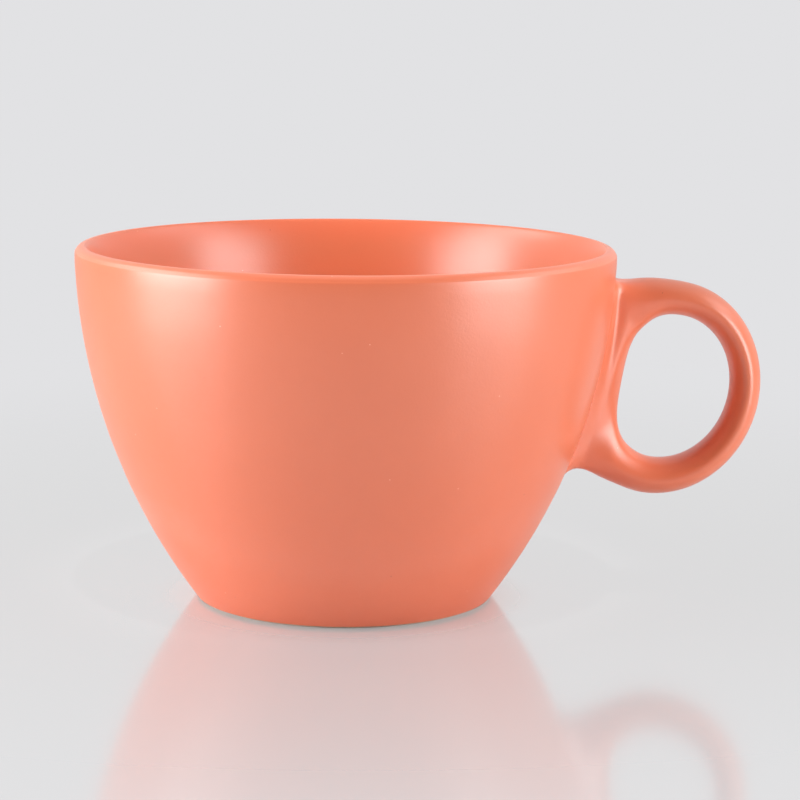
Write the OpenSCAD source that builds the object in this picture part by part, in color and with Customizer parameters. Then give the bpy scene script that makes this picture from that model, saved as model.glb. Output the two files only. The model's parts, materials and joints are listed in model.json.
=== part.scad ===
// Cappuccino cup with a ring handle, in glazed stoneware.
// The origin is in the middle of the standing face.
// +Z is up along the cup's axis, and +X points to the handle.

/* [Cup] */
// Diameter of the rim outside, over the glaze
rim_d = 95; // [85:0.5:110]
// Height from the table to the top of the lip
cup_h = 62.9; // [58:0.1:75]
// Diameter of the glazed wall at its lower edge, just above the bare foot
base_d = 52.7; // [44:0.1:60]
// Radius of the arc that the outside of the wall follows from foot to lip
wall_arc_r = 107; // [80:1:180]
// Thickness of the clay wall at the lip
wall_t = 2.7; // [2:0.1:4]
// Thickness of the clay wall at the floor, measured level
wall_base_t = 5.2; // [4:0.1:7]
// Thickness of the clay floor
floor_t = 4.1; // [3:0.1:7]
// Radius of the round corner inside, between the floor and the wall
inner_corner_r = 14; // [4:0.5:18]

/* [Foot] */
// Height of the bare foot, from the table to the edge of the glaze
foot_h = 0.45; // [0.4:0.05:1.2]
// Set-back of the foot from the clay wall above it
foot_inset = 0.8; // [0:0.1:1.5]
// Width of the ring that stands on the table
foot_w = 2.9; // [2.5:0.1:8]
// Rounding of the foot's lower edges
foot_edge_r = 0.25; // [0.1:0.05:0.35]
// Depth of the hollow inside the foot
hollow_depth = 1.6; // [1.5:0.1:3]

/* [Handle] */
// Height of the middle of the handle's ring above the table
ring_z = 38.3; // [36:0.1:41]
// Distance from the wall to the middle of the ring
ring_out = 10.4; // [8:0.1:14]
// Diameter of the circle that the middle of the ring follows
ring_d = 32.6; // [30:0.2:36]
// Thickness of the ring across its bend, over the glaze
ring_t = 6.3; // [5:0.1:8]
// Width of the ring from front to back, over the glaze
ring_w = 9; // [8.2:0.1:12]
// Thickness of the strip that closes the ring along the wall, over the glaze
strip_t = 4.6; // [3.5:0.1:6]
// Width of the strip from front to back, over the glaze
strip_w = 7.4; // [6:0.1:8]
// Radius of the finger hole's two corners beside the wall
hole_corner_r = 6; // [3:0.2:8]
// Thickness of the slip that glues the handle to the wall
slip_t = 0.6; // [0.5:0.05:1]

/* [Glaze] */
// Thickness of the glaze
glaze_t = 0.3; // [0.2:0.02:0.4]

/* [Hidden] */

clay_colour = [0.87, 0.83, 0.77];
slip_colour = [0.82, 0.77, 0.70];
coral_colour = [0.91, 0.49, 0.37];

$fn = 96;
wall_steps = 20;
lip_steps = 8;
corner_steps = 12;

// The lip is a half round as thick as the glazed wall
lip_r = wall_t / 2 + glaze_t;
lip_c = [rim_d / 2 - lip_r, cup_h - lip_r];

// The wall's arc passes the lower edge of the glaze and runs into the lip with no kink, so its centre lies
// wall_arc_r from that edge and half a wall less from the middle of the lip
wall_foot = [base_d / 2, foot_h];
wall_c = circles_meet(wall_foot, wall_arc_r, lip_c, wall_arc_r - lip_r);
lip_way = (lip_c - wall_c) / norm(lip_c - wall_c);
lip_a = direction(lip_way);

// The inside of the wall is an arc too: it runs out of the lip with no kink, and the wall has its base
// thickness where this arc would reach the floor
floor_z = hollow_depth + floor_t + glaze_t;
inner_top = lip_c - lip_r * lip_way;
inner_foot = [wall_r(floor_z) - wall_base_t - 2 * glaze_t, floor_z];
inner_drop = inner_foot - inner_top;
inner_arc_r = -inner_drop * inner_drop / (2 * lip_way * inner_drop);
inner_c = inner_top - inner_arc_r * lip_way;

// The round corner inside touches the floor and the inside of the wall
corner_z = floor_z + inner_corner_r;
corner_reach = inner_arc_r - inner_corner_r;
corner_c = [inner_c.x + sqrt(corner_reach ^ 2 - (corner_z - inner_c.y) ^ 2), corner_z];
corner_a = direction(corner_c - inner_c);

// The foot stands back from the clay wall and goes straight down to the table
foot_outer_r = outer_wall(glaze_t)[0].x - foot_inset;
foot_inner_r = foot_outer_r - foot_w;

// The ring's place follows the wall
ring_x = wall_r(ring_z) + ring_out;
ring_c = [ring_x, ring_z];

// The hole's corners touch its circle from inside and the strip's edge from outside
hole_r = ring_d / 2 - ring_t / 2;
strip_arc_r = wall_arc_r + strip_t;
upper_corner = circles_meet(wall_c, strip_arc_r + hole_corner_r, ring_c, hole_r - hole_corner_r);
lower_corner = circles_meet(ring_c, hole_r - hole_corner_r, wall_c, strip_arc_r + hole_corner_r);
upper_end_a = direction(upper_corner - ring_c);
lower_end_a = direction(lower_corner - ring_c) + 360;

// Radius of the outside of the wall at a height
function wall_r(z) = wall_c.x + sqrt(wall_arc_r ^ 2 - (z - wall_c.y) ^ 2);

// The angle of a vector from the x axis
function direction(v) = atan2(v.y, v.x);

// Where two circles meet, on the left of the way from the first centre to the second
function circles_meet(c1, r1, c2, r2) =
    let (
        way = c2 - c1,
        span = norm(way),
        along = (r1 ^ 2 - r2 ^ 2 + span ^ 2) / (2 * span),
        aside = sqrt(r1 ^ 2 - along ^ 2)
    )
    c1 + (along * way + aside * [-way.y, way.x]) / span;

function arc(c, r, from, to, steps) =
    [for (i = [0:steps]) let (a = from + (to - from) * i / steps) c + r * [cos(a), sin(a)]];

function backwards(points) = [for (i = [len(points) - 1:-1:0]) points[i]];

function without_first(points) = [for (i = [1:len(points) - 1]) points[i]];

// Runs of the cup's section, each sunk below the glazed surface by a depth
function outer_wall(depth) =
    let (r = wall_arc_r - depth, lowest_a = asin((foot_h - wall_c.y) / r))
    arc(wall_c, r, lowest_a, lip_a, wall_steps);

function outer_lip(depth) = arc(lip_c, lip_r - depth, lip_a, 90, lip_steps);

function inner_lip(depth) = arc(lip_c, lip_r - depth, 90, lip_a + 180, lip_steps);

function inner_wall(depth) = arc(inner_c, inner_arc_r + depth, lip_a, corner_a, wall_steps);

function inner_corner(depth) = arc(corner_c, inner_corner_r + depth, corner_a, -90, corner_steps);

// The strip's edge beside the hole, from the upper corner down to the lower one
function strip_edge(depth) = concat(
    arc(upper_corner, hole_corner_r + depth, upper_end_a, direction(wall_c - upper_corner), corner_steps),
    without_first(arc(
        wall_c, strip_arc_r - depth,
        direction(upper_corner - wall_c), direction(lower_corner - wall_c), corner_steps
    )),
    without_first(arc(
        lower_corner, hole_corner_r + depth,
        direction(wall_c - lower_corner), lower_end_a, corner_steps
    ))
);

function outside(depth) = concat(outer_wall(depth), without_first(outer_lip(depth)));

function inside(depth) = concat(
    inner_lip(depth),
    without_first(inner_wall(depth)),
    without_first(inner_corner(depth)),
    [[0, floor_z - depth]]
);

// Everything inside the wall's outer arc, sunk by a depth or raised by a negative one
module within_wall(depth) {
    rotate_extrude()
        polygon(concat([[0, foot_h]], outer_wall(depth), [[0, outer_wall(depth)[wall_steps].y]]));
}

// A ring of flattened round section, upright along the x axis
module ring(depth) {
    end_r = ring_t / 2 - depth;
    straight = ring_w - ring_t;
    translate([ring_x, 0, ring_z])
        rotate([90, 0, 0])
            rotate_extrude()
                translate([ring_d / 2, 0]) {
                    translate([0, straight / 2])
                        circle(end_r);
                    translate([0, -straight / 2])
                        circle(end_r);
                    square([2 * end_r, straight], center = true);
                }
}

// The strip closes the ring along the wall and rounds the hole's two corners there
module strip(depth) {
    rotate([90, 0, 0])
        linear_extrude(strip_w - 2 * depth, center = true)
            polygon(concat(
                strip_edge(depth),
                arc(ring_c, ring_d / 2, lower_end_a, upper_end_a, wall_steps)
            ));
}

module handle_form(depth) {
    ring(depth);
    strip(depth);
}

module cup_body() {
    color(clay_colour)
        rotate_extrude()
            polygon(concat(
                outside(glaze_t),
                without_first(inside(glaze_t)),
                [[0, hollow_depth], [foot_inner_r, hollow_depth], [foot_inner_r, foot_h]]
            ));
}

module foot_ring() {
    color(clay_colour)
        rotate_extrude()
            polygon(concat(
                [[foot_inner_r, foot_h]],
                arc([foot_inner_r + foot_edge_r, foot_edge_r], foot_edge_r, 180, 270, lip_steps),
                arc([foot_outer_r - foot_edge_r, foot_edge_r], foot_edge_r, 270, 360, lip_steps),
                [[foot_outer_r, foot_h]]
            ));
}

module handle() {
    color(clay_colour)
        difference() {
            handle_form(glaze_t);
            within_wall(glaze_t - slip_t);
        }
}

module slip_joint() {
    color(slip_colour)
        difference() {
            intersection() {
                handle_form(glaze_t);
                within_wall(glaze_t - slip_t);
            }
            within_wall(glaze_t);
        }
}

module outer_glaze() {
    color(coral_colour)
        difference() {
            rotate_extrude()
                polygon(concat(outside(0), backwards(outside(glaze_t))));
            handle_form(glaze_t);
        }
}

module inner_glaze() {
    color(coral_colour)
        rotate_extrude()
            polygon(concat(inside(0), backwards(inside(glaze_t))));
}

module handle_glaze() {
    color(coral_colour)
        difference() {
            handle_form(0);
            handle_form(glaze_t);
            within_wall(0);
        }
}

module base_glaze() {
    color(coral_colour)
        rotate_extrude()
            polygon([
                [0, hollow_depth - glaze_t],
                [foot_inner_r - glaze_t, hollow_depth - glaze_t],
                [foot_inner_r - glaze_t, foot_h],
                [foot_inner_r, foot_h],
                [foot_inner_r, hollow_depth],
                [0, hollow_depth]
            ]);
}

cup_body();
foot_ring();
handle();
slip_joint();
outer_glaze();
inner_glaze();
handle_glaze();
base_glaze();
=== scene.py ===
import json
import math

import bmesh
import bpy
from mathutils import Matrix, Vector

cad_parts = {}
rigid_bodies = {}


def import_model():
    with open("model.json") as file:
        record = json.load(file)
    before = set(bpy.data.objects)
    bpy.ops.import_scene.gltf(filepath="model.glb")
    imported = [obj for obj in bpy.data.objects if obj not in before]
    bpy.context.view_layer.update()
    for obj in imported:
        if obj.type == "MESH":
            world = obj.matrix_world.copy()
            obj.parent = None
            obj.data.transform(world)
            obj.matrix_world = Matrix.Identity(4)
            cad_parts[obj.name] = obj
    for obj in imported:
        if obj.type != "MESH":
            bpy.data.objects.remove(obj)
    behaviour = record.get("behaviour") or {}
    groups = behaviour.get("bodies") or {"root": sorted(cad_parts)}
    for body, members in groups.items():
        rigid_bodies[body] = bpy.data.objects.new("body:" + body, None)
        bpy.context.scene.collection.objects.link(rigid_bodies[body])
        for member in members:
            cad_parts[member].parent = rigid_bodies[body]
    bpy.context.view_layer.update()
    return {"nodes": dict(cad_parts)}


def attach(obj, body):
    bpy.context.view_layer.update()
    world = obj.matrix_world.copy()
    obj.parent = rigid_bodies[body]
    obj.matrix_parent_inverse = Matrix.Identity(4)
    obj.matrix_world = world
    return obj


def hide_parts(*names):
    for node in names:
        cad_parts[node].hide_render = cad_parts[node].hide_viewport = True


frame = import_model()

bpy.context.scene.view_settings.view_transform = "Standard"


# The clay bowl is cream stoneware, formed in a spinning mould, trimmed and fired hard. The glaze hides
# it but for a narrow ledge beside the foot, where the glaze is wiped off.

def linear(red, green, blue):
    """A colour as it looks on a screen, from 0 to 1, as the shader's own values."""
    parts = [c / 12.92 if c <= 0.04045 else ((c + 0.055) / 1.055) ** 2.4 for c in (red, green, blue)]
    return (*parts, 1.0)


def new_group(name, inputs, outputs):
    """An empty node group. A socket with no start value takes a vector, and the others take numbers."""
    group = bpy.data.node_groups.new(name, "ShaderNodeTree")
    for direction, sockets in (("INPUT", inputs), ("OUTPUT", outputs)):
        for socket, start in sockets.items():
            kind = "NodeSocketVector" if start is None else "NodeSocketFloat"
            made = group.interface.new_socket(name=socket, in_out=direction, socket_type=kind)
            if start is not None and direction == "INPUT":
                made.default_value = start
    enter = group.nodes.new("NodeGroupInput")
    leave = group.nodes.new("NodeGroupOutput")
    return group, enter, leave


def feed(tree, socket, value):
    """Sets a node's socket to another node's result, or to a value of its own."""
    if isinstance(value, bpy.types.NodeSocket):
        tree.links.new(value, socket)
    else:
        socket.default_value = value


def reckon(tree, operation, one, other):
    """The result of an operation with two numbers."""
    node = tree.nodes.new("ShaderNodeMath")
    node.operation = operation
    feed(tree, node.inputs[0], one)
    feed(tree, node.inputs[1], other)
    return node.outputs["Value"]


def ramp(tree, value, start, end, low=0.0, high=1.0, kind="SMOOTHSTEP"):
    """A number that goes from low to high while a value goes from start to end."""
    node = tree.nodes.new("ShaderNodeMapRange")
    node.interpolation_type = kind
    given = {"Value": value, "From Min": start, "From Max": end, "To Min": low, "To Max": high}
    for name, setting in given.items():
        feed(tree, node.inputs[name], setting)
    return node.outputs["Result"]


def mix_colours(tree, share, below, above, blend="MIX"):
    """A colour with a share of another one over it."""
    node = tree.nodes.new("ShaderNodeMix")
    node.data_type = "RGBA"
    node.blend_type = blend
    for name, setting in (("Factor", share), ("A", below), ("B", above)):
        feed(tree, node.inputs[name], setting)
    return node.outputs["Result"]


def mix_shaders(tree, share, below, above):
    """A shader with a share of another one over it."""
    node = tree.nodes.new("ShaderNodeMixShader")
    for socket, setting in zip(node.inputs, (share, below, above)):
        feed(tree, socket, setting)
    return node.outputs["Shader"]


# Fired clay and glaze share two effects: a mottled tone, and specks as small as pin pricks.
mottle, enter, leave = new_group("fired_mottle", {"Vector": None, "Scale": 60.0}, {"Tone": 0.5})
cloud = mottle.nodes.new("ShaderNodeTexNoise")
cloud.inputs["Detail"].default_value = 4.0
cloud.inputs["Roughness"].default_value = 0.55
mottle.links.new(enter.outputs["Vector"], cloud.inputs["Vector"])
mottle.links.new(enter.outputs["Scale"], cloud.inputs["Scale"])
mottle.links.new(cloud.outputs["Fac"], leave.inputs["Tone"])

specks, enter, leave = new_group(
    "fired_specks", {"Vector": None, "Scale": 400.0, "Rarity": 0.97, "Size": 0.1}, {"Mask": 0.0}
)
cells = specks.nodes.new("ShaderNodeTexVoronoi")
split = specks.nodes.new("ShaderNodeSeparateColor")
specks.links.new(enter.outputs["Vector"], cells.inputs["Vector"])
specks.links.new(enter.outputs["Scale"], cells.inputs["Scale"])
specks.links.new(cells.outputs["Color"], split.inputs["Color"])
chosen = reckon(specks, "GREATER_THAN", split.outputs["Red"], enter.outputs["Rarity"])
near = reckon(specks, "LESS_THAN", cells.outputs["Distance"], enter.outputs["Size"])
specks.links.new(reckon(specks, "MULTIPLY", chosen, near), leave.inputs["Mask"])


rough_spread = 0.08


def fired_material(name, pale, deep, rough, tone_scale, grain_scale, grain_depth):
    """Fired clay or glaze: a colour that wanders between two tones, and a fine grain."""
    material = bpy.data.materials.new(name)
    material.use_nodes = True
    tree = material.node_tree
    nodes, links = tree.nodes, tree.links
    shader = nodes["Principled BSDF"]
    place = nodes.new("ShaderNodeTexCoord")
    tone = nodes.new("ShaderNodeGroup")
    tone.node_tree = mottle
    tone.inputs["Scale"].default_value = tone_scale
    links.new(place.outputs["Object"], tone.inputs["Vector"])
    links.new(mix_colours(tree, tone.outputs["Tone"], deep, pale), shader.inputs["Base Color"])
    dull, sleek = rough * (1 + rough_spread), rough * (1 - rough_spread)
    gloss = ramp(tree, tone.outputs["Tone"], 0.0, 1.0, low=dull, high=sleek, kind="LINEAR")
    links.new(gloss, shader.inputs["Roughness"])
    grain = nodes.new("ShaderNodeTexNoise")
    grain.inputs["Scale"].default_value = grain_scale
    grain.inputs["Detail"].default_value = 2.0
    links.new(place.outputs["Object"], grain.inputs["Vector"])
    bump = nodes.new("ShaderNodeBump")
    bump.inputs["Distance"].default_value = grain_depth
    links.new(grain.outputs["Fac"], bump.inputs["Height"])
    links.new(bump.outputs["Normal"], shader.inputs["Normal"])
    return material


def add_specks(material, colour, scale, rarity, size):
    """Lays specks of one colour over a material's own colour."""
    tree = material.node_tree
    nodes, links = tree.nodes, tree.links
    base = nodes["Principled BSDF"].inputs["Base Color"]
    below = base.links[0].from_socket
    dots = nodes.new("ShaderNodeGroup")
    dots.node_tree = specks
    dots.inputs["Scale"].default_value = scale
    dots.inputs["Rarity"].default_value = rarity
    dots.inputs["Size"].default_value = size
    links.new(nodes["Texture Coordinate"].outputs["Object"], dots.inputs["Vector"])
    links.new(mix_colours(tree, dots.outputs["Mask"], below, colour), base)


clay = fired_material(
    "cream_clay", linear(0.89, 0.85, 0.79), linear(0.84, 0.79, 0.73),
    rough=0.8, tone_scale=120.0, grain_scale=3500.0, grain_depth=0.00006,
)
add_specks(clay, linear(0.62, 0.55, 0.47), scale=900.0, rarity=0.5, size=0.12)

MM = 0.001
glaze_t = 0.3 * MM
rim_r, cup_h = 47.5 * MM, 62.9 * MM
edge_r, edge_z = 26.35 * MM, 0.45 * MM
lip_r = 1.65 * MM
wall_arc_r = 107.0 * MM
wall_base_t = 5.8 * MM
floor_z, corner_r = 6.0 * MM, 14.0 * MM
hollow_z, ledge_r = 1.6 * MM, 25.98 * MM
foot_out, foot_in = 25.18 * MM, 22.28 * MM


def circles_meet(first, first_r, second, second_r):
    """Where two circles meet, on the left of the way from the first middle to the second."""
    way = second - first
    along = (first_r ** 2 - second_r ** 2 + way.length_squared) / (2 * way.length)
    aside = math.sqrt(first_r ** 2 - along ** 2)
    return first + (way * along + Vector((-way.y, way.x)) * aside) / way.length


def along_arc(middle, radius, start, end, steps):
    """Points of an arc in the cup's section, without its first one."""
    turns = [start + (end - start) * step / steps for step in range(1, steps + 1)]
    return [middle + radius * Vector((math.cos(turn), math.sin(turn))) for turn in turns]


# The outside of the wall is one arc, which runs into the round of the lip with no kink
lip_c = Vector((rim_r - lip_r, cup_h - lip_r))
wall_c = circles_meet(Vector((edge_r, edge_z)), wall_arc_r, lip_c, wall_arc_r - lip_r)
lip_way = (lip_c - wall_c).normalized()


def wall_spot(height):
    """The point of the glazed outside of the wall at a height."""
    return Vector((wall_c.x + math.sqrt(wall_arc_r ** 2 - (height - wall_c.y) ** 2), height))


# Inside, the lip rounds off slowly, along a quarter of a long oval, so the wall thickens from the lip down
soft_drop, soft_in, soft_lean = 14.0 * MM, 1.6 * MM, 0.17
lip_rows = along_arc(lip_c, lip_r, math.atan2(lip_way.y, lip_way.x), math.pi / 2, steps=7)
soft_end = Vector((lip_c.x - soft_in - soft_lean * soft_drop, cup_h - soft_drop))
soft_steps = 14
for step in range(1, soft_steps + 1):
    turn = step / soft_steps * math.pi / 2
    risen = soft_drop * math.cos(turn)
    lip_rows.append(soft_end + Vector((soft_lean * risen + soft_in * (1 - math.sin(turn)), risen)))

# From there an arc runs on down the wall, and a round corner leads from it to the floor
soft_way = Vector((1.0, -soft_lean)).normalized()
inner_drop = wall_spot(floor_z) - Vector((wall_base_t, 0)) - soft_end
inner_arc_r = -inner_drop.length_squared / (2 * soft_way.dot(inner_drop))
inner_c = soft_end - inner_arc_r * soft_way
corner_c = Vector((0, floor_z + corner_r))
corner_c.x = inner_c.x + math.sqrt((inner_arc_r - corner_r) ** 2 - (corner_c.y - inner_c.y) ** 2)
corner_turn = math.atan2(corner_c.y - inner_c.y, corner_c.x - inner_c.x)
inner_rows = along_arc(inner_c, inner_arc_r, math.atan2(soft_way.y, soft_way.x), corner_turn, steps=10)
inner_rows += along_arc(corner_c, corner_r, corner_turn, -math.pi / 2, steps=8)
inner_rows += [Vector((radius * MM, floor_z)) for radius in (11.0, 6.0, 2.5)]


def sunk(rows, depth):
    """Rows of the section moved into the clay by a depth."""
    moved = []
    for before, row, after in zip(rows[:1] + rows, rows, rows[1:] + rows[-1:]):
        along = (after - before).normalized()
        moved.append(row + depth * Vector((-along.y, along.x)))
    return moved


def raise_rows(rows):
    """Extrudes the selected ring of edges from the first row through all the others."""
    for row, following in zip(rows, rows[1:]):
        bpy.ops.mesh.extrude_edges_move(TRANSFORM_OT_translate={"value": (0, 0, following.y - row.y)})
        grown = following.x / row.x
        bpy.ops.transform.resize(value=(grown, grown, 1), center_override=(0, 0, 0))


under_rows = [Vector((foot_in, hollow_z)), Vector((foot_in, edge_z)), Vector((ledge_r, edge_z))]
under_lip = 60.3 * MM
clay_heights = [height * MM for height in (1.8, 4.5, 8.5, 13.5, 19.5, 26.5, 34.5, 42.5, 50.5, 56.5)]
wall_rows = [wall_spot(height) for height in clay_heights + [under_lip]]
glazed_rows = wall_rows + lip_rows + inner_rows
crisp = math.radians(40)
bpy.ops.object.select_all(action="DESELECT")
bpy.ops.mesh.primitive_circle_add(vertices=128, radius=foot_in, fill_type="NGON", location=(0, 0, hollow_z))
bowl = bpy.context.object
bowl.name = "clay_bowl"
bpy.ops.object.transform_apply(location=True)
bpy.ops.object.mode_set(mode="EDIT")
bpy.ops.mesh.select_all(action="SELECT")
raise_rows(under_rows + sunk(glazed_rows, glaze_t))
bpy.ops.mesh.edge_face_add()
bpy.ops.mesh.select_all(action="SELECT")
bpy.ops.mesh.normals_make_consistent(inside=False)
bpy.ops.object.mode_set(mode="OBJECT")
bpy.ops.object.shade_smooth_by_angle(angle=crisp)
bowl.data.materials.append(clay)
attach(bowl, "root")
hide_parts("cup_body")


# The foot is a ring of the same clay, turned on the wheel under the floor. The glaze is wiped off
# it before firing so that it doesn't stick to the kiln shelf, and it stays bare and slightly rough.

foot_round = 0.25 * MM
hair = 0.01 * MM
bpy.ops.object.select_all(action="DESELECT")
bpy.ops.mesh.primitive_circle_add(vertices=192, radius=foot_out)
foot = bpy.context.object
foot.name = "bare_foot_ring"
bpy.ops.object.mode_set(mode="EDIT")
bpy.ops.mesh.select_all(action="SELECT")
bpy.ops.mesh.extrude_edges_move(TRANSFORM_OT_translate={"value": (0, 0, 0)})
bpy.ops.transform.resize(value=(foot_in / foot_out, foot_in / foot_out, 1), center_override=(0, 0, 0))
bpy.ops.mesh.select_all(action="SELECT")
bpy.ops.mesh.extrude_region_move(TRANSFORM_OT_translate={"value": (0, 0, edge_z)})
bpy.ops.mesh.select_all(action="SELECT")
bpy.ops.mesh.normals_make_consistent(inside=False)
lower = bmesh.from_edit_mesh(foot.data)
for edge in lower.edges:
    low = all(vertex.co.z < hair for vertex in edge.verts)
    from_axis = [vertex.co.to_2d().length for vertex in edge.verts]
    round_the_ring = abs(from_axis[0] - from_axis[1]) < hair
    edge.select_set(low and round_the_ring)
bmesh.update_edit_mesh(foot.data)
bpy.ops.mesh.bevel(offset=foot_round, segments=5, affect="EDGES")
bpy.ops.object.mode_set(mode="OBJECT")
bpy.ops.object.shade_smooth_by_angle(angle=crisp)
# The bare clay is darker than the bowl's cream clay: partly the clay's own grey-beige, partly painted shade
# from the glaze's overhang above the foot
bare_clay = fired_material(
    "bare_clay", linear(0.83, 0.78, 0.71), linear(0.76, 0.70, 0.63),
    rough=0.85, tone_scale=260.0, grain_scale=4200.0, grain_depth=0.0001,
)
add_specks(bare_clay, linear(0.55, 0.48, 0.41), scale=1400.0, rarity=0.5, size=0.12)
foot.data.materials.append(bare_clay)
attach(foot, "root")
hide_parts("foot_ring")


# The glaze is a coral satin coat of glass, which the cup gets in a dip before its last firing. It covers
# the wall, the lip, the bowl and the handle without a seam, so it is modelled as one smooth skin and
# then parted into the coats that the frame names.

coral = fired_material(
    "coral_glaze", linear(0.893, 0.467, 0.326), linear(0.875, 0.447, 0.306),
    rough=0.33, tone_scale=90.0, grain_scale=2400.0, grain_depth=0.000016,
)
coral.node_tree.nodes["Principled BSDF"].inputs["IOR"].default_value = 1.8
add_specks(coral, linear(0.97, 0.70, 0.60), scale=260.0, rarity=0.4, size=0.026)
add_specks(coral, linear(0.76, 0.37, 0.26), scale=230.0, rarity=0.6, size=0.026)

# The handle meets the wall at eleven places, given by their turn round the middle of its ring
ring_c = Vector((56.0, 38.2)) * MM
join_turns = [math.radians(turn) for turn in (113, 119.5, 129, 142, 157, 172, 187, 199, 208, 215.5, 224)]
join_top, join_foot = 58.6 * MM, 22.1 * MM


def heading(turn):
    """The direction of a turn, from the x axis towards the top."""
    return Vector((math.cos(turn), math.sin(turn)))


def to_wall(way, off):
    """How far the wall, moved out by an amount, is from the ring's middle in a direction."""
    start = ring_c - wall_c
    b = start.dot(way)
    return -b - math.sqrt(b * b - start.length_squared + (wall_arc_r + off) ** 2)


join_heights = [ring_c.y + to_wall(heading(turn), 0) * math.sin(turn) for turn in join_turns[1:-1]]
low_heights = [edge_z] + [height * MM for height in (0.9, 2.5, 5.3, 8.8, 12.8, 16.8, 19.9)]
wall_heights = low_heights + [join_foot] + join_heights[::-1] + [join_top, under_lip]
section = [wall_spot(height) for height in wall_heights] + lip_rows + inner_rows

columns = 40
bpy.ops.object.select_all(action="DESELECT")
bpy.ops.mesh.primitive_circle_add(vertices=columns, radius=edge_r, location=(0, 0, edge_z))
skin = bpy.context.object
skin.name = "glazed_skin"
bpy.ops.object.transform_apply(location=True)
bpy.ops.object.mode_set(mode="EDIT")
bpy.ops.mesh.select_all(action="SELECT")
raise_rows(section)
bpy.ops.mesh.edge_face_add()
bpy.ops.mesh.select_all(action="SELECT")
bpy.ops.mesh.normals_make_consistent(inside=False)

# The wall's faces under the handle are inset, which holds the join tight, and then taken out
join_tight = 0.9 * MM
column_turn = 2 * math.pi / columns
wall = bmesh.from_edit_mesh(skin.data)
for face in wall.faces:
    middle = face.calc_center_median()
    outside = face.normal.to_2d().dot(middle.to_2d()) > 0
    ahead = abs(math.atan2(middle.y, middle.x)) < column_turn
    face.select_set(outside and ahead and join_foot < middle.z < join_top)
bmesh.update_edit_mesh(skin.data)
bpy.ops.mesh.inset(thickness=join_tight, use_boundary=True)
bpy.ops.mesh.delete(type="FACE")

# The join narrows at its top, where the ring runs out of the wall
top_narrow = 0.78
wall = bmesh.from_edit_mesh(skin.data)
for vertex in wall.verts:
    high = join_top - 2 * join_tight < vertex.co.z < join_top - 0.5 * join_tight
    if vertex.is_boundary and high:
        radius = vertex.co.to_2d().length
        vertex.co.y *= top_narrow
        vertex.co.x = math.sqrt(radius ** 2 - vertex.co.y ** 2)
bmesh.update_edit_mesh(skin.data)
bpy.ops.object.mode_set(mode="OBJECT")

# The handle starts as a ring of eight-sided section, and each point is moved to where the real
# handle has it: an oval ring that leans with the wall, closed by a strip along the wall.
free_stations = 22
stations = len(join_turns) - 1 + free_stations
free_turn = (join_turns[0] + 2 * math.pi - join_turns[-1]) / free_stations
turns = join_turns + [join_turns[-1] + free_turn * place for place in range(1, free_stations)]
ring_sides = 8
start_r, start_t = 16 * MM, 3 * MM
bpy.ops.object.select_all(action="DESELECT")
bpy.ops.mesh.primitive_torus_add(
    major_segments=stations, minor_segments=ring_sides, major_radius=start_r, minor_radius=start_t,
    location=(ring_c.x, 0, ring_c.y), rotation=(math.pi / 2, 0, 0),
)
ring = bpy.context.object
bpy.ops.object.transform_apply(location=True, rotation=True)


def to_oval(way, middle, across, along, lean):
    """How far an oval's edge is from the ring's middle in a direction."""
    short, long = heading(-lean), heading(math.pi / 2 - lean)
    start = ring_c - middle
    a = (way.dot(short) / across) ** 2 + (way.dot(long) / along) ** 2
    b = 2 * (start.dot(short) * way.dot(short) / across ** 2 + start.dot(long) * way.dot(long) / along ** 2)
    c = (start.dot(short) / across) ** 2 + (start.dot(long) / along) ** 2 - 1
    return (-b + math.sqrt(b * b - 4 * a * c)) / (2 * a)


least_slant, far_off = 0.2, 1.0


def to_line(turn, facing, away):
    """How far a straight line is from the ring's middle in a direction."""
    slant = math.cos(turn - facing)
    return away / slant if slant > least_slant else far_off


def rounded_least(one, other, rounding):
    """The smaller of two lengths, with a rounded change from one to the other."""
    return (one + other - math.sqrt((one - other) ** 2 + rounding ** 2)) / 2


def to_arc(way, middle, radius):
    """How far an arc's far side is from the ring's middle in a direction."""
    start = ring_c - middle
    b = start.dot(way)
    return -b + math.sqrt(b * b - start.length_squared + radius ** 2)


ring_half_w, strip_half_w = 4.6 * MM, 4.3 * MM
outer_oval = (Vector((56.35, 37.85)) * MM, 17.3 * MM, 19.25 * MM, 0.251)
hole_oval = (Vector((56.99, 38.06)) * MM, 11.24 * MM, 13.03 * MM, 0.249)
hole_line = (math.pi - 0.158, 8.58 * MM)
hole_rounding = 4.6 * MM
top_arc = (Vector((53.6, 25.4)) * MM, 32.0 * MM)
top_start, top_end = math.radians(70), math.radians(120)
foot_line = (math.radians(243.5), 19.5 * MM)
collar_top, collar_foot = 0.45 * MM, 1.6 * MM
outer_sink, inner_sink = 1.08 * MM, 0.95 * MM

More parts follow.
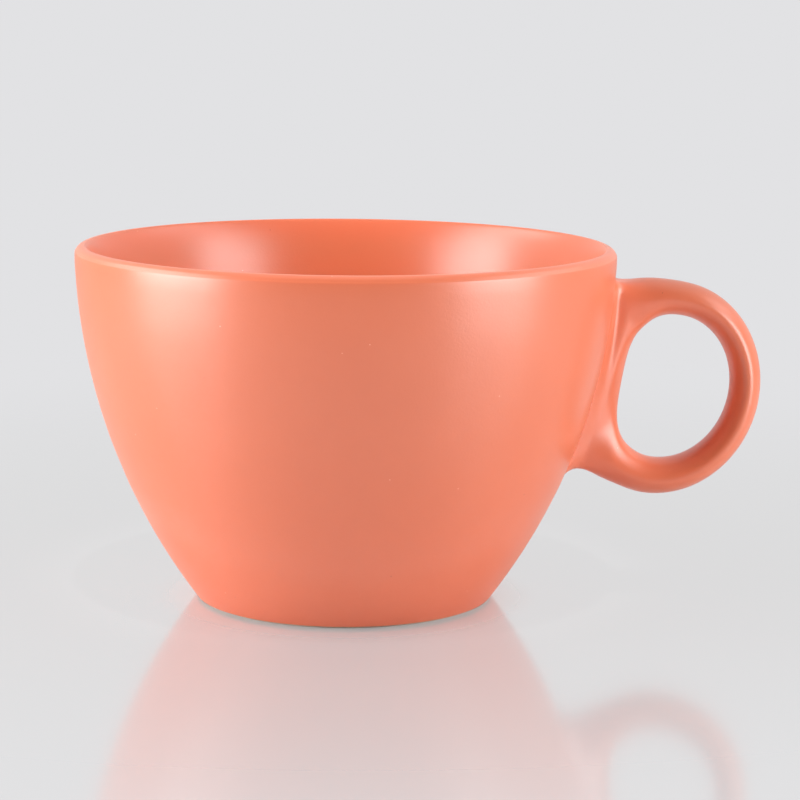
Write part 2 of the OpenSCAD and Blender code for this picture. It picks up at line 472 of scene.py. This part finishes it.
# The section's width beside its outer face, half way and beside the hole, as shares of its full width.
# On the strip and at the lower root it is rounder, so these shares are less there.
outer_share, middle_share, inner_share = 0.74, 1.0, 0.7
end_share, collar_share = 0.9, 0.98
strip_collar, strip_middle, strip_inner = 0.12, 0.05, 0.08
root_middle, root_inner = 0.06, 0.1
strip_lean, root_turn = 0.17, math.radians(214)
strip_power, root_power = 3, 4
last_join = len(join_turns) - 1
for vertex in ring.data.vertices:
    station, around = divmod(vertex.index, ring_sides)
    turn = turns[station]
    way = heading(turn)
    hole = rounded_least(to_oval(way, *hole_oval), to_line(turn, *hole_line), hole_rounding)
    outer = to_oval(way, *outer_oval)
    if top_start < turn % (2 * math.pi) < top_end:
        outer = max(outer, to_arc(way, *top_arc))
    if math.pi < turn < foot_line[0]:
        outer = max(outer, to_line(turn, *foot_line))
    strip = max(0.0, -math.cos(turn + strip_lean)) ** strip_power
    half_w = ring_half_w + (strip_half_w - ring_half_w) * strip
    sink, corner_side, far = outer_sink, outer_share, outer
    if station in (0, last_join):
        sink, corner_side = outer_sink / 2, end_share
    if 0 < station < last_join:
        corner_side = collar_share + strip_collar * strip
        collar = collar_top + (collar_foot - collar_top) * station / last_join
        far = min(outer, to_wall(way, 0))
        outer = min(outer, to_wall(way, collar))
        sink = 0.0
    low_root = max(0.0, math.cos(turn - root_turn)) ** root_power
    middle_side = middle_share - strip_middle * strip - root_middle * low_root
    inner_side = inner_share - strip_inner * strip - root_inner * low_root
    half_way = (far + hole) / 2
    places = [
        (outer, 0), (outer - sink, corner_side), (half_way, middle_side), (hole + inner_sink, inner_side),
        (hole, 0), (hole + inner_sink, -inner_side), (half_way, -middle_side), (outer - sink, -corner_side),
    ]
    away, side = places[around]
    spot = ring_c + way * away
    vertex.co = (spot.x, -side * half_w, spot.y)

bpy.ops.object.mode_set(mode="EDIT")
bpy.ops.mesh.select_all(action="DESELECT")
form = bmesh.from_edit_mesh(ring.data)
for face in form.faces:
    numbers = [divmod(vertex.index, ring_sides) for vertex in face.verts]
    behind = all(around in (ring_sides - 1, 0, 1) for _, around in numbers)
    face.select_set(behind and all(station <= last_join for station, _ in numbers))
bmesh.update_edit_mesh(ring.data)
bpy.ops.mesh.delete(type="FACE")
bpy.ops.object.mode_set(mode="OBJECT")

# Ring and wall become one mesh, and a band of faces bridges their two openings
skin_points = len(skin.data.vertices)
above_foot = 5 * MM
ring.select_set(True)
skin.select_set(True)
bpy.context.view_layer.objects.active = skin
bpy.ops.object.join()
outer_part, inner_part, handle_part, band_part = range(4)
for _ in range(4):
    skin.data.materials.append(coral)
bpy.ops.object.mode_set(mode="EDIT")
bpy.ops.mesh.select_mode(type="EDGE")
bpy.ops.mesh.select_all(action="DESELECT")
form = bmesh.from_edit_mesh(skin.data)
for edge in form.edges:
    edge.select_set(edge.is_boundary and min(vertex.co.z for vertex in edge.verts) > above_foot)
bmesh.update_edit_mesh(skin.data)
bpy.ops.mesh.bridge_edge_loops(type="SINGLE")
bpy.ops.mesh.select_all(action="SELECT")
bpy.ops.mesh.normals_make_consistent(inside=False)
bpy.ops.mesh.select_mode(type="FACE")
bpy.ops.mesh.select_all(action="DESELECT")
form = bmesh.from_edit_mesh(skin.data)
lip_top = 0.02
for face in form.faces:
    from_axis = face.calc_center_median().to_2d()
    inside = face.normal.to_2d().dot(from_axis) < lip_top * from_axis.length
    face.material_index = inner_part if inside else outer_part
    face.select_set(max(vertex.index for vertex in face.verts) >= skin_points)
bmesh.update_edit_mesh(skin.data)
bpy.ops.mesh.select_more()
skin.active_material_index = band_part
bpy.ops.object.material_slot_assign()
bpy.ops.mesh.select_less()
skin.active_material_index = handle_part
bpy.ops.object.material_slot_assign()
bpy.ops.object.mode_set(mode="OBJECT")

# A subdivided skin runs inside its corners, so they are moved out until it passes through them
smooth = skin.modifiers.new("smooth", "SUBSURF")
smooth.levels = smooth.render_levels = 2
wanted = [vertex.co.copy() for vertex in skin.data.vertices]
settle_rounds = 12
for _ in range(settle_rounds):
    reached = skin.evaluated_get(bpy.context.evaluated_depsgraph_get()).data
    missing = [goal - reached.vertices[i].co for i, goal in enumerate(wanted)]
    for vertex, miss in zip(skin.data.vertices, missing):
        vertex.co += miss
    skin.data.update()
bpy.ops.object.modifier_apply(modifier=smooth.name)
bpy.ops.object.shade_smooth()


def pick(piece):
    """Selects one piece alone and makes it the active one."""
    bpy.ops.object.select_all(action="DESELECT")
    piece.select_set(True)
    bpy.context.view_layer.objects.active = piece


def part_off(name, *parts):
    """Takes parts of the skin off as a piece of their own."""
    pick(skin)
    bpy.ops.object.mode_set(mode="EDIT")
    bpy.ops.mesh.select_all(action="DESELECT")
    for part in parts:
        skin.active_material_index = part
        bpy.ops.object.material_slot_select()
    bpy.ops.mesh.separate(type="SELECTED")
    bpy.ops.object.mode_set(mode="OBJECT")
    piece = next(piece for piece in bpy.context.selected_objects if piece is not skin)
    piece.name = name
    return piece


glaze_crisp = math.radians(50)


def give_coat(piece):
    """Makes a coat of the skin, with the glaze's thickness behind it."""
    pick(piece)
    thick = piece.modifiers.new("thick", "SOLIDIFY")
    thick.thickness = glaze_t
    thick.offset = -1.0
    bpy.ops.object.modifier_apply(modifier=thick.name)
    bpy.ops.object.material_slot_remove_unused()
    while len(piece.material_slots) > 1:
        bpy.ops.object.material_slot_remove()
    bpy.ops.object.shade_smooth_by_angle(angle=glaze_crisp)
    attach(piece, "root")


handle_coat = part_off("handle_coat", handle_part, band_part)
inner_coat = part_off("inner_coat", inner_part)
skin.name = "outer_coat"

# The handle itself is a ring of the bowl's clay, cast in a mould of its own. All of it is under the glaze,
# so it is a copy of the handle's skin, without the band on the wall, sunk by the glaze.
pick(handle_coat)
bpy.ops.object.duplicate()
handle_clay = bpy.context.object
handle_clay.name = "handle_clay"
bpy.ops.object.mode_set(mode="EDIT")
bpy.ops.mesh.select_all(action="DESELECT")
handle_clay.active_material_index = band_part
bpy.ops.object.material_slot_select()
bpy.ops.mesh.delete(type="FACE")
bpy.ops.mesh.select_all(action="SELECT")
bpy.ops.transform.shrink_fatten(value=-glaze_t)
bpy.ops.mesh.select_mode(type="EDGE")
bpy.ops.mesh.select_all(action="DESELECT")
form = bmesh.from_edit_mesh(handle_clay.data)
for edge in form.edges:
    edge.select_set(edge.is_boundary)
bmesh.update_edit_mesh(handle_clay.data)
bpy.ops.mesh.fill_grid()
bpy.ops.mesh.select_all(action="SELECT")
bpy.ops.mesh.normals_make_consistent(inside=False)
bpy.ops.object.mode_set(mode="OBJECT")
handle_clay.data.materials.clear()
handle_clay.data.materials.append(clay)
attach(handle_clay, "root")
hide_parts("handle")

for piece, node in ((skin, "outer_glaze"), (inner_coat, "inner_glaze"), (handle_coat, "handle_glaze")):
    give_coat(piece)
    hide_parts(node)

# Inside the bowl the glaze's red is painted weaker by a tenth, growing over 6 mm down from the lip: painted
# shade, which stands in for how the light falls in the bowl
shade_fade_h, painted_shade_tint = 6 * MM, (0.9, 1.0, 1.0, 1)
coral_with_painted_shade = coral.copy()
coral_with_painted_shade.name = "coral_glaze_with_painted_shade"
tree = coral_with_painted_shade.node_tree
nodes, links = tree.nodes, tree.links
height = nodes.new("ShaderNodeSeparateXYZ")
links.new(nodes["Texture Coordinate"].outputs["Object"], height.inputs["Vector"])
# painted shade: its share grows from nothing at the lip to full 6 mm below it
painted_shade_share = ramp(tree, height.outputs["Z"], cup_h, cup_h - shade_fade_h)
base = nodes["Principled BSDF"].inputs["Base Color"]
below = base.links[0].from_socket
links.new(mix_colours(tree, painted_shade_share, below, painted_shade_tint, blend="MULTIPLY"), base)
inner_coat.data.materials[0] = coral_with_painted_shade

# The glaze's wiped lower edge is drawn round by its own tension in the kiln
edge_round = 0.12 * MM
pick(skin)
bpy.ops.object.mode_set(mode="EDIT")
bpy.ops.mesh.select_mode(type="EDGE")
bpy.ops.mesh.select_all(action="DESELECT")
form = bmesh.from_edit_mesh(skin.data)
for edge in form.edges:
    low = all(abs(vertex.co.z - edge_z) < hair for vertex in edge.verts)
    outermost = all(vertex.co.to_2d().length > edge_r - glaze_t / 3 for vertex in edge.verts)
    edge.select_set(low and outermost)
bmesh.update_edit_mesh(skin.data)
bpy.ops.mesh.bevel(offset=edge_round, segments=2, affect="EDGES")
bpy.ops.object.mode_set(mode="OBJECT")
bpy.ops.object.shade_smooth_by_angle(angle=glaze_crisp)


# The slip is a film of liquid clay that glues the handle to the wall. It is fired with them and hidden
# by the glaze, so the solid from the frame stays and only gets its clay.

slip = fired_material(
    "clay_slip", linear(0.84, 0.79, 0.72), linear(0.79, 0.74, 0.67),
    rough=0.85, tone_scale=160.0, grain_scale=3500.0, grain_depth=0.00004,
)
frame["nodes"]["slip_joint"].data.materials.clear()
frame["nodes"]["slip_joint"].data.materials.append(slip)


# The hollow under the floor is glazed too, in the same dip. The wiped foot cuts this coat off from
# the rest, and in the corner beside the foot it runs together and stands a little thicker.

base_r, base_z = foot_in - glaze_t, hollow_z - glaze_t
pool_r = 0.35 * MM
bpy.ops.object.select_all(action="DESELECT")
bpy.ops.mesh.primitive_circle_add(vertices=128, radius=base_r, fill_type="NGON", location=(0, 0, base_z))
base_coat = bpy.context.object
base_coat.name = "base_coat"
bpy.ops.object.transform_apply(location=True)
bpy.ops.object.mode_set(mode="EDIT")
bpy.ops.mesh.select_mode(type="EDGE")
bpy.ops.mesh.select_all(action="SELECT")
raise_rows([Vector((base_r, base_z)), Vector((base_r, edge_z))])
bpy.ops.mesh.select_all(action="SELECT")
bpy.ops.mesh.normals_make_consistent(inside=True)
bpy.ops.mesh.select_all(action="DESELECT")
form = bmesh.from_edit_mesh(base_coat.data)
for edge in form.edges:
    edge.select_set(all(vertex.co.z > base_z - hair for vertex in edge.verts))
bmesh.update_edit_mesh(base_coat.data)
bpy.ops.mesh.bevel(offset=pool_r, segments=4, affect="EDGES")
bpy.ops.object.mode_set(mode="OBJECT")
base_coat.data.materials.append(coral)
give_coat(base_coat)
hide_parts("base_glaze")


# The cup stands on a wide sheet of pale gloss acrylic that fades into the air behind it. A low soft box
# stands on each side of it with a weaker one above, a narrow spot lights the bowl, and the room is dark
# in front and pale behind.

floor_w = 60.0
pale_grey, sheet_white = (0.76, 0.76, 0.775, 1), (0.81, 0.81, 0.81, 1)
bpy.ops.object.select_all(action="DESELECT")
bpy.ops.mesh.primitive_plane_add(size=floor_w, location=(0, 0, 0))
floor = bpy.context.object
floor.name = "pale_floor"
acrylic = bpy.data.materials.new("pale_acrylic")
acrylic.use_nodes = True
tree = acrylic.node_tree
nodes, links = tree.nodes, tree.links
nodes.remove(nodes["Principled BSDF"])
ray = nodes.new("ShaderNodeLightPath")
place = nodes.new("ShaderNodeTexCoord")
away = nodes.new("ShaderNodeVectorMath")
away.operation = "LENGTH"
links.new(place.outputs["Object"], away.inputs[0])
seen, reach = ray.outputs["Is Camera Ray"], away.outputs["Value"]

# The camera sees the sheet glow like the air behind it, but less round the cup and least at the foot
sheet = nodes.new("ShaderNodeBsdfDiffuse")
sheet.inputs["Color"].default_value = sheet_white
glow = nodes.new("ShaderNodeEmission")
glow.inputs["Color"].default_value = pale_grey
fade = ramp(tree, reach, 0.1, 0.28, low=0.87)
contact = ramp(tree, reach, 0.025, 0.036, low=0.55, kind="SMOOTHERSTEP")
share = reckon(tree, "MULTIPLY", seen, reckon(tree, "MULTIPLY", fade, contact))
body = mix_shaders(tree, share, sheet.outputs["BSDF"], glow.outputs["Emission"])

# The camera sees the cup's reflection only near the cup
mirror = nodes.new("ShaderNodeBsdfGlossy")
mirror.inputs["Roughness"].default_value = 0.12
fresnel = nodes.new("ShaderNodeFresnel")
fresnel.inputs["IOR"].default_value = 1.5
dim = ramp(tree, reach, 0.06, 0.26, low=1.6, high=0.0)
kept = reckon(tree, "MAXIMUM", dim, reckon(tree, "SUBTRACT", 1.0, seen))
shine = reckon(tree, "MULTIPLY", fresnel.outputs["Fac"], kept)
gloss = mix_shaders(tree, shine, body, mirror.outputs["BSDF"])

# The sheet is clear from below and under the foot, so that the cup's underside can be seen
side = nodes.new("ShaderNodeNewGeometry")
under_foot = reckon(tree, "LESS_THAN", reach, foot_out - foot_round)
open_below = reckon(tree, "MAXIMUM", side.outputs["Backfacing"], under_foot)
clear = nodes.new("ShaderNodeBsdfTransparent")
surface = mix_shaders(tree, open_below, gloss, clear.outputs["BSDF"])
links.new(surface, nodes["Material Output"].inputs["Surface"])
floor.data.materials.append(acrylic)

studio = bpy.data.worlds.new("studio")
bpy.context.scene.world = studio
studio.use_nodes = True
tree = studio.node_tree
nodes, links = tree.nodes, tree.links
air = nodes["Background"]
air.inputs["Color"].default_value = (1, 1, 1, 1)
place = nodes.new("ShaderNodeTexCoord")
axes = nodes.new("ShaderNodeSeparateXYZ")
links.new(place.outputs["Generated"], axes.inputs["Vector"])
links.new(ramp(tree, axes.outputs["Y"], -0.9, 1.0, low=0.05, high=0.85), air.inputs["Strength"])
backdrop = nodes.new("ShaderNodeBackground")
backdrop.inputs["Color"].default_value = pale_grey
ray = nodes.new("ShaderNodeLightPath")
seen = ray.outputs["Is Camera Ray"]
room = mix_shaders(tree, seen, air.outputs["Background"], backdrop.outputs["Background"])
links.new(room, nodes["World Output"].inputs["Surface"])

# Each box has its turn from the front, its width, its height over the sheet in boxes and its brightness
box_reach, box_h = 0.36, 0.23
boxes = (
    ("left_box", -70, 0.25, 0.5, 7.3), ("right_box", 62, 0.22, 0.5, 6.0),
    ("left_fill", -93, 0.40, 1.5, 3.5), ("right_fill", 90, 0.40, 1.5, 1.6),
)
for name, turn, width, lift, radiance in boxes:
    lamp = bpy.data.lights.new(name, "AREA")
    lamp.shape = "RECTANGLE"
    lamp.size, lamp.size_y = width, box_h
    lamp.energy = radiance * math.pi * width * box_h
    holder = bpy.data.objects.new(name, lamp)
    bpy.context.scene.collection.objects.link(holder)
    side = math.radians(turn)
    holder.location = (box_reach * math.sin(side), -box_reach * math.cos(side), lift * box_h)
    holder.rotation_euler = (math.pi / 2, 0, side)
    holder.visible_camera = False

spot_reach, spot_lift = 0.80, math.radians(75)
lamp = bpy.data.lights.new("bowl_spot", "SPOT")
lamp.energy = 37.0
lamp.shadow_soft_size = 0.02
lamp.spot_size = math.radians(6.4)
lamp.spot_blend = 0.35
holder = bpy.data.objects.new("bowl_spot", lamp)
bpy.context.scene.collection.objects.link(holder)
holder.location = (0, -spot_reach * math.cos(spot_lift), cup_h + spot_reach * math.sin(spot_lift))
holder.rotation_euler = (math.pi / 2 - spot_lift, 0, 0)
holder.visible_glossy = False

camera_data = bpy.data.cameras.new("camera")
camera_data.lens = 115.4
camera_data.sensor_width = 36.0
camera_data.clip_start = 0.01
camera = bpy.data.objects.new("camera", camera_data)
bpy.context.scene.collection.objects.link(camera)
camera.location = (0, -0.4493, 0.1115)
pan = Matrix.Rotation(-0.0216, 3, "Z")
tilt = Matrix.Rotation(math.pi / 2 - 0.1682, 3, "X")
roll = Matrix.Rotation(0.0108, 3, "Z")
camera.rotation_euler = (pan @ tilt @ roll).to_euler()
bpy.context.scene.camera = camera
